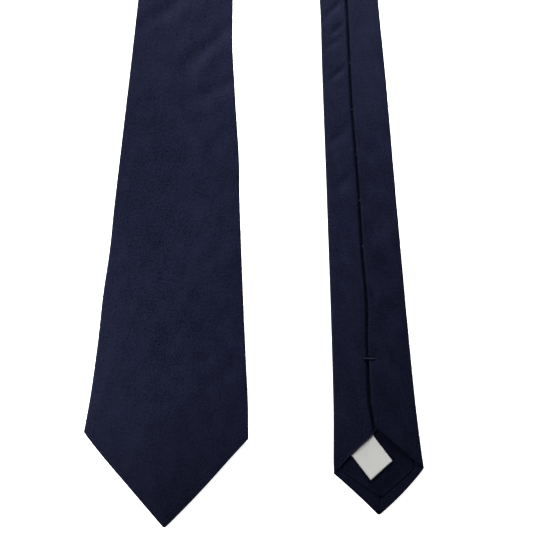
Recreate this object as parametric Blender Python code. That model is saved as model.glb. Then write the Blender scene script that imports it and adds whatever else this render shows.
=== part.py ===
"""A silk necktie, folded once at the middle of its neck and laid flat.

The wide blade lies face up on the left and the narrow tail back up on the
right. The fold is at +Y, where the blade's leg lies on the tail's leg with
the two backs together. Lengths are in millimetres here, and metres in the
scene. A leg is laid out in its own terms: a station along it, measured from
the blade's tip towards the fold, u to the right of its middle line and w in
from its face. The origin is at the bottom, in the middle of the box.
"""

import math
from dataclasses import dataclass
from typing import Callable

import bmesh
import bpy
import numpy as np

MM = 0.001
GAP = 0.3  # between two pieces that touch

# The lie of the tie, in a layout whose y = 0 is the blade's tip.
FOLD_Y = 740.0
TAIL_TIP_Y = 6.8
CREASE_Y = 370.0  # where each leg also folds, halfway up
ORIGIN_X = 0.36
ORIGIN_Y = 370.6
SQUARED_FROM = 640.0  # past it, the rows turn to lie along the neck's fold

# One leg's thickness, layer by layer from the face to the back.
CLOTH = 0.5
INTERLINING = 0.9
TIPPING = 0.3
FACE_W = CLOTH / 2
INTERLINING_W = CLOTH + GAP + INTERLINING / 2
TIPPING_W = INTERLINING_W + INTERLINING / 2 + GAP + TIPPING / 2
WING_W = TIPPING_W + TIPPING / 2 + GAP + CLOTH / 2
RIDGE = CLOTH + GAP  # how far the wing on top is raised by the wing below it
LEG = WING_W + CLOTH / 2 + RIDGE
HINGE_Z = LEG + GAP / 2

# The back: two wings that overlap along a seam, and a hem round the point.
SEAM_U = -1.0
OVERLAP = 10.0
STEP = 1.0
HEM = 7.6
HEM_W = 1.25
POINT_HALF = 1.2  # half width of the blunt end of the point
CORNER_DROP = 3.0  # length over which a wing comes down to the hem
TIPPING_RUN_IN = 25.0  # how far the tipping goes in under the wings

NECK_HALF = 15.0
BIAS_RUN = 60.0  # length over which the rows lean before a seam of the neck
BLADE_NECK_SEAM = 680.0
TAIL_NECK_SEAM = 480.0

THREAD = 0.4
TACK_LENGTH = 7.2
TACK_WIDTH = 1.0

CARE_LABEL_ROOT = (52.6, 37.4)  # layout x, y of the sewn edge's lower end
CARE_LABEL_ANGLE = 41.8
CARE_LABEL_WIDTH = 15.3
CARE_LABEL_LENGTH = 16.9
CARE_LABEL_Z = 2.75
CARE_LABEL_HINGE_Z = 3.3

BRAND_LABEL = (46.0, 24.0)
BRAND_LABEL_Y = 178.0
LOOP_Y = 226.0
LOOP_WIDTH = 12.0
LOOP_HALF = 25.0
LOOP_TUCK = 6.0


def smooth_step(t):
    t = min(max(t, 0.0), 1.0)
    return t * t * (3 - 2 * t)


def profile(*points):
    """A smooth curve through (station, value) points that never overshoots."""
    at, values = np.array(points, float).T
    rise = np.diff(values) / np.diff(at)
    slopes = np.concatenate([rise[:1], np.zeros(len(rise) - 1), rise[-1:]])
    for i in range(1, len(rise)):
        if rise[i - 1] * rise[i] > 0:
            slopes[i] = 2 * rise[i - 1] * rise[i] / (rise[i - 1] + rise[i])

    def value(station):
        i = int(np.clip(np.searchsorted(at, station) - 1, 0, len(rise) - 1))
        run = at[i + 1] - at[i]
        t = min(max((station - at[i]) / run, 0.0), 1.0)
        ease = t * t * (3 - 2 * t)
        bend = slopes[i] * t * (1 - t) ** 2 - slopes[i + 1] * t * t * (1 - t)
        return values[i] + (values[i + 1] - values[i]) * ease + run * bend

    return value


@dataclass(frozen=True)
class Leg:
    """One half of the tie, from its pointed tip to the fold at the neck."""

    tip: float
    corner: float
    middle: Callable  # station -> x of the middle line
    taper: Callable  # station -> half width above the corners
    lift: Callable  # station -> height of the leg's underside
    face_up: bool
    tack: float

    def half_width(self, station):
        if station >= self.corner:
            return self.taper(station)
        run = (station - self.tip) / (self.corner - self.tip)
        return run * self.taper(self.corner)

    def seam_end(self):
        """The station where the wings' lower edges meet, as far up as the point is long."""
        return 2 * self.corner - self.tip

    def across(self, station):
        """The unit vector of a row: square to the leg, and along X at the neck's fold."""
        slope = (self.middle(station + 1) - self.middle(station - 1)) / 2
        lean = slope * (1 - smooth_step((station - SQUARED_FROM) / (FOLD_Y - SQUARED_FROM)))
        return 1 / math.hypot(1, lean), -lean / math.hypot(1, lean)

    def point(self, station, u, w):
        right, up = self.across(station)
        depth = LEG - w if self.face_up else w
        x = self.middle(station) + u * right - ORIGIN_X
        y = station + u * up - ORIGIN_Y
        return x, y, self.lift(station) + depth


BLADE = Leg(
    tip=0.0,
    corner=48.5,
    middle=profile((0, -47.2), (140, -41.4), (277, -35.7), (430, -27), (590, -11.5), (740, 7)),
    taper=profile((48.5, 42.5), (160, 34.0), (277, 25.1), (400, 18.3), (540, NECK_HALF), (740, NECK_HALF)),
    lift=profile(
        (0, -1.8), (14, -1.4), (48, -0.6), (72, -0.08), (98, 0), (132, 1.2), (262, 1.2),
        (312, 0), (430, 0), (600, HINGE_Z + GAP / 2), (740, HINGE_Z + GAP / 2),
    ),
    face_up=True,
    tack=142.0,
)
TAIL = Leg(
    tip=TAIL_TIP_Y,
    corner=TAIL_TIP_Y + 23.0,
    middle=profile((0, 67.2), (140, 58.4), (277, 49.8), (430, 39), (590, 24), (740, 7)),
    taper=profile((29.8, 23.1), (68, 21.4), (172, 18.0), (277, 15.1), (400, 14.8), (740, NECK_HALF)),
    lift=lambda station: 0.0,
    face_up=False,
    tack=TAIL_TIP_Y + 83.0,
)


# Outlines of a leg's layers, all as a middle path from left to right.


def wing_path(leg, station):
    """The shell's section: left wing, turned edge, face, turned edge, right wing."""
    half = leg.half_width(station)
    drop = smooth_step((leg.corner + CORNER_DROP - station) / CORNER_DROP)
    wing = WING_W + drop * (HEM_W - WING_W)
    radius = (wing - FACE_W) / 2
    reach = max(station - leg.corner, 0.0) * leg.half_width(leg.corner) / (leg.corner - leg.tip)
    hem_edge = max(half - HEM, 0.2)
    open_edge = min(hem_edge, leg.half_width(leg.corner) - reach) if reach else hem_edge
    left = min(max(-open_edge, -hem_edge), SEAM_U + OVERLAP)
    right = max(open_edge, SEAM_U)
    raised = RIDGE * smooth_step((station - leg.corner - CORNER_DROP) / (leg.seam_end() - leg.corner - 8))
    climb = max(SEAM_U + OVERLAP + 2 * STEP, (right + half - radius) / 2)
    path = [(left, wing)]
    path += turned_edge(-half + radius, FACE_W + radius, radius, 90, 270)
    path += [(0.0, FACE_W)]
    path += turned_edge(half - radius, FACE_W + radius, radius, -90, 90)
    top = (min(climb, half - radius - 0.3), right)
    path += [(top[0], wing), (max(top[0] - STEP, (top[0] + top[1]) / 2), wing + raised)]
    path += [(right, wing + raised)]
    return path


def turned_edge(u, w, radius, start, end, parts=4):
    angles = [math.radians(start + (end - start) * i / parts) for i in range(parts + 1)]
    return [(u + radius * math.cos(angle), w + radius * math.sin(angle)) for angle in angles]


def inner_half(leg, station):
    """Half width of a layer inside the shell: clear of the hem, then of the turned edges."""
    clear = smooth_step((station - leg.corner - 4) / 8)
    inset = HEM + 0.5 + clear * (2.8 - HEM - 0.5)
    return leg.half_width(station) - inset


def flat_path(level):
    def path(leg, station):
        half = inner_half(leg, station)
        return [(-half, level), (half, level)]

    return path


def band_path(*points):
    return lambda leg, station: list(points)


# Meshes.


def ribbon(path, thickness):
    """The two sides of a cloth of this thickness whose middle follows the path."""
    middle = np.array(path, float)
    step = np.diff(middle, axis=0)
    step /= np.linalg.norm(step, axis=1)[:, None]
    turn = np.vstack([step[:1], step]) + np.vstack([step, step[-1:]])
    offset = np.column_stack([-turn[:, 1], turn[:, 0]]) * thickness / (turn**2).sum(axis=1)[:, None]
    return middle + offset, middle - offset


def developed(path):
    """How far each point of a section is from the face's middle, along the cloth."""
    middle = np.array(path, float)
    along = np.concatenate([[0.0], np.cumsum(np.linalg.norm(np.diff(middle, axis=0), axis=1))])
    return along - along[len(path) // 2 - 1]


def cloth_mesh(name, leg, rows, path_of, thickness):
    """A closed sheet through the rows, each a (station, lean) pair."""
    mesh = bmesh.new()
    rails = []
    for station, lean in rows:
        path = path_of(leg, station)
        shift = lean * developed(path)
        sides = ribbon(path, thickness)
        rails.append(
            [
                [mesh.verts.new(leg.point(station + s, u, w)) for s, (u, w) in zip(shift, side)]
                for side in sides
            ]
        )
    for (front_a, back_a), (front_b, back_b) in zip(rails, rails[1:]):
        join(mesh, front_a, front_b)
        join(mesh, back_b, back_a)
        for end in (0, -1):
            mesh.faces.new((front_a[end], front_b[end], back_b[end], back_a[end]))
    for front, back in (rails[0], rails[-1]):
        join(mesh, front, back)
    return finished(name, mesh)


def join(mesh, first, second):
    for i in range(len(first) - 1):
        mesh.faces.new((first[i], second[i], second[i + 1], first[i + 1]))


def slab_mesh(name, corners, low, high):
    """A flat plate with this outline between two heights."""
    mesh = bmesh.new()
    base = [mesh.verts.new((x, y, low)) for x, y in corners]
    face = mesh.faces.new(base)
    lifted = bmesh.ops.extrude_face_region(mesh, geom=[face])["geom"]
    top = [item for item in lifted if isinstance(item, bmesh.types.BMVert)]
    bmesh.ops.translate(mesh, verts=top, vec=(0, 0, high - low))
    return finished(name, mesh)


def finished(name, mesh):
    bmesh.ops.recalc_face_normals(mesh, faces=mesh.faces)
    data = bpy.data.meshes.new(name)
    mesh.to_mesh(data)
    mesh.free()
    data.shade_smooth()
    data.set_sharp_from_angle(angle=math.radians(35))
    return data


# Scene objects.


def material(name, colour, roughness):
    made = bpy.data.materials.new(name)
    made.use_nodes = True
    shader = made.node_tree.nodes["Principled BSDF"]
    shader.inputs["Base Color"].default_value = (*colour, 1)
    shader.inputs["Roughness"].default_value = roughness
    shader.inputs["Metallic"].default_value = 0
    return made


def pivot(name, at, parent=None):
    """An empty on a joint's axis, which carries the pieces of one body."""
    empty = bpy.data.objects.new(name, None)
    bpy.context.scene.collection.objects.link(empty)
    empty["at"] = at
    base = parent["at"] if parent else (0, 0, 0)
    empty.parent = parent
    empty.location = [(value - start) * MM for value, start in zip(at, base)]
    return empty


def add(data, body, finish):
    """A piece on a body, its mesh measured from the body's pivot and turned to metres."""
    for vertex in data.vertices:
        vertex.co = [(value - start) * MM for value, start in zip(vertex.co, body["at"])]
    data.materials.append(finish)
    piece = bpy.data.objects.new(data.name, data)
    bpy.context.scene.collection.objects.link(piece)
    piece.parent = body
    return piece


def level_rows(*stations):
    return [(station, 0.0) for station in stations]


def leaning_rows(seam, side):
    """Rows that lean more and more until the last lies along a bias seam."""
    rows = [(seam + side * BIAS_RUN * part, 1.0 - part) for part in (1.0, 0.5)]
    rows.append((seam + side * GAP / 2, 1.0))
    return rows if side < 0 else rows[::-1]


def end_stations(leg):
    """Stations from the point to the crease, closer where the section changes."""
    blunt = POINT_HALF / leg.half_width(leg.corner)
    point = [leg.tip + (leg.corner - leg.tip) * part for part in (blunt, 0.2, 0.45, 0.75)]
    wings = [leg.corner, leg.corner + 1.5, leg.corner + CORNER_DROP, leg.corner + 12]
    first = leg.seam_end()
    spread = np.linspace(first + 2, CREASE_Y - GAP / 2, 12 if leg is BLADE else 11)
    return point + wings + [(leg.corner + 12 + first) / 2, first - 4] + [float(s) for s in spread]


def layer_stations(leg, top):
    """The same stations, from where a layer inside the hem is wide enough to begin."""
    low = leg.tip + (leg.corner - leg.tip) * (HEM + 2.0) / leg.half_width(leg.corner)
    near = [leg.corner + 4, leg.corner + 8]
    kept = [s for s in end_stations(leg) + near if low + 2 < s < top - 2]
    return [low] + sorted(kept) + [top]


def seam_thread(name, leg, start, end):
    count = max(2, round((end - start) / 30) + 1)
    rows = level_rows(*np.linspace(start, end, count))
    level = WING_W + CLOTH / 2 + GAP + THREAD / 2
    left = SEAM_U - GAP - THREAD - 0.1
    return cloth_mesh(name, leg, rows, band_path((left, level), (left + THREAD, level)), THREAD)


def bar_tack(name, leg):
    """A short bar of thread that straddles the seam where it stops."""
    level = LEG + GAP + THREAD / 2
    foot = WING_W + CLOTH / 2 + GAP
    left = SEAM_U - TACK_LENGTH / 2 - 0.3
    points = ((left, foot), (left, level), (left + TACK_LENGTH, level))
    rows = level_rows(leg.tack, leg.tack + TACK_WIDTH)
    return cloth_mesh(name, leg, rows, band_path(*points), THREAD)


def build_end(prefix, leg, body, silk, wool, lining, thread):
    """The pieces between a leg's point and its crease."""
    crease = CREASE_Y - GAP / 2
    shell = cloth_mesh(f"{prefix}_shell_end", leg, level_rows(*end_stations(leg)), wing_path, CLOTH)
    add(shell, body, silk)
    rows = level_rows(*layer_stations(leg, crease))
    add(cloth_mesh(f"{prefix}_interlining_end", leg, rows, flat_path(INTERLINING_W), INTERLINING), body, wool)
    rows = level_rows(*layer_stations(leg, leg.seam_end() + TIPPING_RUN_IN))
    add(cloth_mesh(f"{prefix}_tipping", leg, rows, flat_path(TIPPING_W), TIPPING), body, lining)
    add(bar_tack(f"{prefix}_bar_tack", leg), body, thread)
    add(seam_thread(f"{prefix}_slip_stitch_end", leg, leg.tack + TACK_WIDTH + GAP, crease), body, thread)


def build_upper(prefix, leg, body, seam, neck_name, silk, wool, thread):
    """The pieces between a leg's crease and the fold at the neck."""
    crease = CREASE_Y + GAP / 2
    fold = FOLD_Y - GAP / 2
    count = max(2, round((seam - BIAS_RUN - crease) / 28) + 1)
    below = level_rows(*np.linspace(crease, seam - BIAS_RUN, count)[:-1]) + leaning_rows(seam, -1)
    add(cloth_mesh(f"{prefix}_shell_upper", leg, below, wing_path, CLOTH), body, silk)
    first = seam + BIAS_RUN
    count = max(1, round((fold - first) / 40))
    above = leaning_rows(seam, 1)[:-1] + level_rows(*np.linspace(min(first, fold), fold, count + 1))
    above = above[:-1] if first >= fold else above
    add(cloth_mesh(neck_name, leg, above, wing_path, CLOTH), body, silk)
    rows = level_rows(*np.linspace(crease, fold, 14))
    add(cloth_mesh(f"{prefix}_interlining_upper", leg, rows, flat_path(INTERLINING_W), INTERLINING), body, wool)
    add(seam_thread(f"{prefix}_slip_stitch_upper", leg, crease, fold), body, thread)


def build_blade_trim(body, silk, satin, thread):
    """The blank label and the keeper loop on the blade's back, with their tacks."""
    half, height = BRAND_LABEL[0] / 2, BRAND_LABEL[1]
    level = LEG + GAP + 0.15
    rows = level_rows(*np.linspace(BRAND_LABEL_Y - height / 2, BRAND_LABEL_Y + height / 2, 3))
    add(cloth_mesh("brand_label", BLADE, rows, band_path((-half, level), (half, level)), 0.3), body, satin)
    outer, tuck = LOOP_HALF, WING_W + CLOTH / 2 + GAP + CLOTH / 2
    run = tuck + CLOTH + 0.4
    edge = turned_edge(-outer, (tuck + run) / 2, (run - tuck) / 2, -90, -270)
    far_edge = [(-u, w) for u, w in reversed(edge)]
    points = [(LOOP_TUCK - outer, tuck)] + edge + [(0.0, run)] + far_edge + [(outer - LOOP_TUCK, tuck)]
    rows = level_rows(LOOP_Y - LOOP_WIDTH / 2, LOOP_Y + LOOP_WIDTH / 2)
    add(cloth_mesh("keeper_loop", BLADE, rows, band_path(*points), CLOTH), body, silk)
    foot = WING_W + CLOTH / 2 + GAP + THREAD / 2
    for side, name in ((-1, "left"), (1, "right")):
        start = side * (half - 2.5) if side < 0 else half - 4.0
        tack = ((start, foot), (start + 1.5, foot))
        rows = level_rows(BRAND_LABEL_Y - 8, BRAND_LABEL_Y + 8)
        add(cloth_mesh(f"brand_label_tack_{name}", BLADE, rows, band_path(*tack), THREAD), body, thread)
        start = side * (outer - LOOP_TUCK - GAP) - (0.0 if side < 0 else 1.5)
        tack = ((start, foot), (start + 1.5, foot))
        rows = level_rows(LOOP_Y - 4, LOOP_Y + 4)
        add(cloth_mesh(f"keeper_loop_tack_{name}", BLADE, rows, band_path(*tack), THREAD), body, thread)


def care_label_corners():
    angle = math.radians(CARE_LABEL_ANGLE)
    along = (math.cos(angle), math.sin(angle))
    down = (math.sin(angle), -math.cos(angle))
    x, y = CARE_LABEL_ROOT[0] - ORIGIN_X, CARE_LABEL_ROOT[1] - ORIGIN_Y
    spans = ((0, 0), (CARE_LABEL_WIDTH, 0), (CARE_LABEL_WIDTH, CARE_LABEL_LENGTH), (0, CARE_LABEL_LENGTH))
    return [(x + a * along[0] + d * down[0], y + a * along[1] + d * down[1]) for a, d in spans]


def main():
    for obj in list(bpy.data.objects):
        bpy.data.objects.remove(obj, do_unlink=True)
    silk = material("navy_silk", (0.012, 0.014, 0.034), 0.5)
    lining = material("navy_lining", (0.006, 0.007, 0.018), 0.45)
    wool = material("interlining_wool", (0.55, 0.53, 0.48), 0.95)
    thread = material("navy_thread", (0.02, 0.024, 0.055), 0.6)
    label = material("label_satin", (0.62, 0.62, 0.6), 0.55)
    brand = material("brand_satin", (0.03, 0.035, 0.07), 0.4)

    tail_upper = pivot("tail_upper", (0.0, 0.0, 0.0))
    tail_end = pivot("tail_end", TAIL.point(CREASE_Y, 0, HINGE_Z), tail_upper)
    blade_upper = pivot("blade_upper", (TAIL.point(FOLD_Y, 0, 0)[0], FOLD_Y - ORIGIN_Y, HINGE_Z), tail_upper)
    blade_end = pivot("blade_end", BLADE.point(CREASE_Y, 0, LEG - HINGE_Z), blade_upper)
    corners = care_label_corners()
    care_label = pivot("care_label_hinge", (*corners[0], CARE_LABEL_HINGE_Z), tail_end)

    build_end("blade", BLADE, blade_end, silk, wool, lining, thread)
    build_end("tail", TAIL, tail_end, silk, wool, lining, thread)
    build_upper("blade", BLADE, blade_upper, BLADE_NECK_SEAM, "neck_shell_front", silk, wool, thread)
    build_upper("tail", TAIL, tail_upper, TAIL_NECK_SEAM, "neck_shell_rear", silk, wool, thread)
    build_blade_trim(blade_end, silk, brand, thread)
    add(slab_mesh("care_label", corners, CARE_LABEL_Z - 0.15, CARE_LABEL_Z + 0.15), care_label, label)


main()
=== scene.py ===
"""The looks of a navy silk necktie, folded at its neck and laid flat.

Every cloth piece is laid out in the tie's own terms, in millimetres: a
station along a leg, measured from the blade's tip towards the fold at the
neck, u to the right of the leg's middle line, and w in from its face. Leg
turns those into the frame's metres, in the place the CAD model gives them.
"""

import math

import bmesh
import bpy
import numpy as np
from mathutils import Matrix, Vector


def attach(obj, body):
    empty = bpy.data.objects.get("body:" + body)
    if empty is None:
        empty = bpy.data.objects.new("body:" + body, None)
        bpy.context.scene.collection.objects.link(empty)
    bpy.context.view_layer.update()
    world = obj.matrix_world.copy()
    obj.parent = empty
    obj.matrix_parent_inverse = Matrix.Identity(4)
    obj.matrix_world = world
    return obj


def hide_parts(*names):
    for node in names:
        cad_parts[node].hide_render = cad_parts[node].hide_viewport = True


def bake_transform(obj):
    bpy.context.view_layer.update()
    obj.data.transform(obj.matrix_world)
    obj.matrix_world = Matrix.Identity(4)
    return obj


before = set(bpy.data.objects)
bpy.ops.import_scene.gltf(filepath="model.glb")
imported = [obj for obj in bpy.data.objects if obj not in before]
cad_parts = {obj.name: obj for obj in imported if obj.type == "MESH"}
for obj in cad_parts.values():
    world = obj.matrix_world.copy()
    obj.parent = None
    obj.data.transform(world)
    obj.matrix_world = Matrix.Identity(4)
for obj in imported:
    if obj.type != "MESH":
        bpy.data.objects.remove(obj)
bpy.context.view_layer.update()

MM = 0.001
WEAVE_UV = "weave"

# The lie of the tie, as the CAD model has it.
FOLD_Y = 740.0
CREASE_Y = 370.0
CREASE_RUN = 5.0  # how far each side of the crease a bend would run; no piece is bent there
CREASE_FINE = 8.0  # how far each side of the crease the rows are close together
TAIL_TIP_Y = 6.8
ORIGIN_X = 0.36
ORIGIN_Y = 370.6
SQUARED_FROM = 640.0  # from here up the rows turn square to the fold
LEG = 3.9  # thickness of a leg
HINGE_Z = 4.05
BLADE_NECK_SEAM = 680.0
TAIL_NECK_SEAM = 480.0
BIAS_RUN = 60.0  # how far along the leg a neck seam runs on the bias
NECK_HALF = 14.8

# The cloth, layer by layer in from the face.
CLOTH = 0.5
FACE_W = 0.25
WING_W = 2.85
OVERLAP = 7.0  # how far the left wing runs on under the right one
HEM_AT_MITRE = 9.3  # width of the hem's border along a row, where its two sides meet
HEM_AT_CORNER = 5.2
HEM_UNDER = 2.0  # how much further it goes under the tipping
HEM_RISE = 0.82  # from the middle of the face's cloth to the middle of the hem's
TIPPING = 0.3
TIPPING_RISE = 0.26  # from the middle of the hem's cloth to the middle of the tipping's edge
TIPPING_RUN_IN = 25.0  # how far the tipping goes in above the end of the seam
INTERLINING = 0.55
INTERLINING_W = 1.05
INTERLINING_MARGIN = 2.2  # between the interlining's edge and the leg's

# Rows and columns of the cloth meshes.
SEAM_ROWS = np.array([0.02, 0.3, 0.6, 0.9, 1.3, 2.0])  # rows this far from a neck seam
WING_COLUMNS = 10
FACE_COLUMNS = 23
TURN_COLUMNS = 7
HEM_COLUMNS = 26
TIPPING_COLUMNS = 20
INTERLINING_COLUMNS = 26
BEND_ROWS = 19

# A free edge is thinned over these distances in from it.
FREE_EDGE = np.array([0.0, 0.12, 0.35, 0.75, 1.4])
FREE_EDGE_THICKNESS = np.array([0.25, 0.6, 0.85, 0.95, 0.8])
HEM_EDGE_THICKNESS = np.array([0.15, 0.3])
HEM_THICKNESS = 0.42
TIPPING_EDGE = np.array([0.0, 0.15, 0.5, 1.1])
TIPPING_EDGE_THICKNESS = np.array([0.15, 0.32, 0.4, 0.36])
TIPPING_EDGE_WIDTH = 1.6

# Threads, by radius, and the slip stitches' spacing.
SLIP_STITCH_RADIUS = 0.16
END_STITCH_RADIUS = 0.15
LABEL_STITCH_RADIUS = 0.13
STITCH_SPACING = 24.0
STITCH_SUNK = 1.6  # how far below the cloth the stitches are where none show

# The bar tack's strands: how far along from its middle, and their radius. The pale strand is a
# painted highlight along the tack's top, and the dark navy strands also stand for painted shade above
# and below it.
BAR_TACK_STRANDS_AND_PAINTED_LIGHT = {"dark": ((-1.3, 0.45), 0.3), "pale": ((-0.45,), 0.15)}


def ease(t):
    """Smooth from 0 to 1 as t goes from 0 to 1."""
    t = np.clip(t, 0.0, 1.0)
    return t * t * (3 - 2 * t)


def hill(x, middle, width):
    """A smooth hill of height 1 that is about twice the width across."""
    return np.exp(-(((x - middle) / width) ** 2))


def soft_max(a, b, radius):
    """The larger of two values, with the corner between them rounded."""
    gap = np.clip(radius - np.abs(a - b), 0, None)
    return np.maximum(a, b) + gap * gap / (4 * radius)


def soft_min(a, b, radius):
    return -soft_max(-a, -b, radius)


def profile(*points):
    """A smooth curve through (station, value) points that never overshoots."""
    at, values = np.array(points, float).T
    rise = np.diff(values) / np.diff(at)
    slopes = np.concatenate([rise[:1], np.zeros(len(rise) - 1), rise[-1:]])
    for i in range(1, len(rise)):
        if rise[i - 1] * rise[i] > 0:
            slopes[i] = 2 * rise[i - 1] * rise[i] / (rise[i - 1] + rise[i])

    def value(station):
        station = np.asarray(station, float)
        i = np.clip(np.searchsorted(at, station) - 1, 0, len(rise) - 1)
        run = at[i + 1] - at[i]
        t = np.clip((station - at[i]) / run, 0.0, 1.0)
        bend = slopes[i] * t * (1 - t) ** 2 - slopes[i + 1] * t * t * (1 - t)
        return values[i] + (values[i + 1] - values[i]) * ease(t) + run * bend

    return value


class Leg:
    """One half of the tie, from its pointed tip to the fold at the neck."""

    def __init__(self, tip, corner, middle, taper, lift, face_up, **looks):
        self.tip, self.corner = tip, corner
        self.middle, self.taper, self.lift = middle, taper, lift
        self.face_up = face_up
        self.corner_half = float(taper(corner))
        self.seam_end = 2 * corner - tip
        self.seam = looks["seam"]
        self.gape = looks["gape"]
        self.crown = looks["crown"]
        self.waves = looks["waves"]
        self.wander = looks["wander"]
        self.belly, self.blunt = looks["belly"], looks["blunt"]
        self.tack, self.stitches_show_to = looks["tack"], looks["stitches_show_to"]

    def rise(self, station):
        """How far up a station is: 0 at the tip, 1 at the corners, 2 where the seam ends."""
        return (station - self.tip) / (self.corner - self.tip)

    def half_width(self, station):
        """Half the width: nearly straight from the tip to the corners, then the leg's taper."""
        part = np.clip(self.rise(station), 0, 1)
        blunt = self.blunt * (1 - part) * np.sqrt(np.minimum(part / 0.04, 1))
        point = part * self.corner_half + blunt + self.belly * 4 * part * (1 - part)
        return np.where(station < self.corner, point, self.taper(station))

    def lean(self, station):
        slope = (self.middle(station + 1) - self.middle(station - 1)) / 2
        return slope * (1 - ease((station - SQUARED_FROM) / (FOLD_Y - SQUARED_FROM)))

    def points(self, station, u, w):
        """Places in the frame, in metres, with the cloth's soft unevenness added."""
        station, u, w = np.broadcast_arrays(station, u, w)
        lean = self.lean(station)
        length = np.hypot(1, lean)
        u = u + self.wander(station, u / np.maximum(self.half_width(station), 1))
        x = self.middle(station) + u / length - ORIGIN_X
        y = station - u * lean / length - ORIGIN_Y
        depth = LEG - w if self.face_up else w
        share = np.clip(depth / LEG, 0, 1)
        z = self.lift(station) + depth + share * self.waves(station, u)
        return np.stack([x, y, z], axis=-1) * MM

    def point(self, station, u, w):
        return self.points(np.array(float(station)), u, w)


def waves_at(station, u, slant, length, offset=0.0):
    """Waves whose crests rise to the right at this slant, in degrees."""
    angle = math.radians(slant)
    across = station * math.cos(angle) - u * math.sin(angle)
    return np.sin(2 * math.pi * (across + offset) / length)


def blade_wander(station, share):
    """The blade's edges, and with them its cloth, stray a little from straight lines."""
    corner = -1.1 * hill(station, 42, 18)
    right = 0.6 * hill(station, 196, 16) - 0.75 * hill(station, 252, 20)
    left = 0.35 * hill(station, 146, 14) - 0.3 * hill(station, 118, 14)
    return corner + np.clip(share, 0, 1) * right + np.clip(-share, 0, 1) * left


def tail_wander(station, share):
    """The tail's point sits a little to the left, and both its sides bow to the right."""
    rise = np.clip((station - TAIL_TIP_Y) / 23, 0, 1)
    return -1.2 * (1 - rise) + 1.1 * 4 * rise * (1 - rise) + 0.25 * hill(station, 29, 5)


# Soft buckles across the blade's face, given as the tail's creases are.
BLADE_BUCKLES = (
    (251, 0.95, 11, 4.5, 1.8), (272, 0.8, -9, 4.5, 1.6), (230, 0.6, 17, 3.5, 1.0),
    (300, 0.8, 4, 6.0, 1.4), (335, 0.7, -4, 7.0, 1.2),
)


def blade_waves(station, u):
    """The blade's face is smooth low down, and softly buckled further up."""
    up = ease((station - 190) / 60) * (1 - ease((station - 460) / 120))
    high = waves_at(station, u, 32, 29, 6) * 0.16 + waves_at(station, u, 18, 57, 20) * 0.22
    low = waves_at(station, u, 24, 88, 10) * 0.1
    buckles = sum(
        -depth * hill(station - slant * (u - middle), at, width) * hill(u, middle, 13)
        for at, slant, middle, width, depth in BLADE_BUCKLES
    )
    return up * high + low * ease((station - 20) / 80) + buckles


# Creases across the tail's left wing: station, slant, middle, width and depth.
TAIL_CREASES = (
    (273, 0.9, -8, 1.6, 1.6), (263.5, 0.8, -5.5, 1.5, 1.4), (254, 0.6, -11, 1.3, 1.1),
    (240, 0.8, -7, 1.4, 1.6), (206, 0.7, -10, 3.0, 0.9), (182, 0.7, -8, 3.5, 0.9),
    (300, 0.8, -9, 2.0, 1.2), (330, 0.7, -8, 2.4, 1.0),
)

# Ridges and hollows across its right wing: station, width and height.
TAIL_RIDGES = ((116, 7, 0.8), (103, 6, -0.4), (142, 7, 0.6), (155, 6, -0.6), (205, 8, 0.4))


def tail_waves(station, u):
    """Small creases on the left wing, and soft ridges across the right one."""
    left, right = ease((-u - 1) / 6), ease((u - 1) / 6)
    creases = sum(
        -depth * hill(station - slant * (u - middle), at, width) * hill(u, middle, 5.5)
        for at, slant, middle, width, depth in TAIL_CREASES
    )
    along = station - 0.7 * u
    ridges = sum(height * hill(along, at, width) for at, width, height in TAIL_RIDGES)
    pucker = hill(station, 93, 4) * hill(u, 2.5, 3.5) * waves_at(station, u, 45, 2.6) * 0.12
    return left * creases + right * ridges + pucker


BLADE = Leg(
    tip=0.0,
    corner=48.5,
    middle=profile((0, -47.2), (140, -41.4), (277, -35.7), (430, -27), (590, -11.5), (740, 7)),
    taper=profile(
        (48.5, 43.0), (95, 38.6), (160, 33.3), (277, 24.6), (400, 18.1), (540, NECK_HALF),
        (740, NECK_HALF),
    ),
    lift=profile(
        (0, -1.8), (14, -1.4), (48, -0.6), (72, -0.08), (98, 0), (132, 1.2), (262, 1.2),
        (312, 0), (430, 0), (600, HINGE_Z + 0.15), (740, HINGE_Z + 0.15),
    ),
    face_up=True,
    seam=profile((0, -1.0), (740, -1.001)),
    gape=profile((90, 0.25), (142, 0.1), (190, 0.2), (740, 0.2)),
    crown=profile((0, 0.45), (600, 0.45), (740, 0.3)),
    waves=blade_waves,
    wander=blade_wander,
    belly=0.6,
    blunt=0.2,
    tack=142.0,
    stitches_show_to=174.0,
)
TAIL = Leg(
    tip=TAIL_TIP_Y,
    corner=TAIL_TIP_Y + 23.0,
    middle=profile((0, 67.2), (140, 58.4), (277, 49.8), (430, 39), (590, 24), (740, 7)),
    taper=profile(
        (29.8, 23.5), (68, 21.2), (172, 18.0), (240, 16.3), (277, 15.1), (400, 14.7),
        (740, NECK_HALF),
    ),
    lift=lambda station: np.zeros_like(station),
    face_up=False,
    seam=profile(
        (40, -0.6), (55, -0.5), (67, -1.6), (90, -1.5), (120, -0.1), (146, -0.8), (172, -0.8),
        (224, -1.7), (277, -1.0), (740, -1.001),
    ),
    gape=profile(
        (30, 0.2), (42, 0.4), (53, 0.75), (70, 1.1), (84, 0.55), (88, 0.2), (91, 0.2),
        (95, 0.65), (140, 0.7), (175, 0.55), (280, 0.45), (400, 0.2), (740, 0.2),
    ),
    crown=profile((0, 0.15), (600, 0.15), (740, 0.3)),
    waves=tail_waves,
    wander=tail_wander,
    belly=0.45,
    blunt=0.15,
    tack=TAIL_TIP_Y + 83.0,
    stitches_show_to=174.0,
)


# Sections across a leg. A row of u and w runs from the left wing's free edge,
# out round the left edge, across the face and back to the right wing's.


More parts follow.
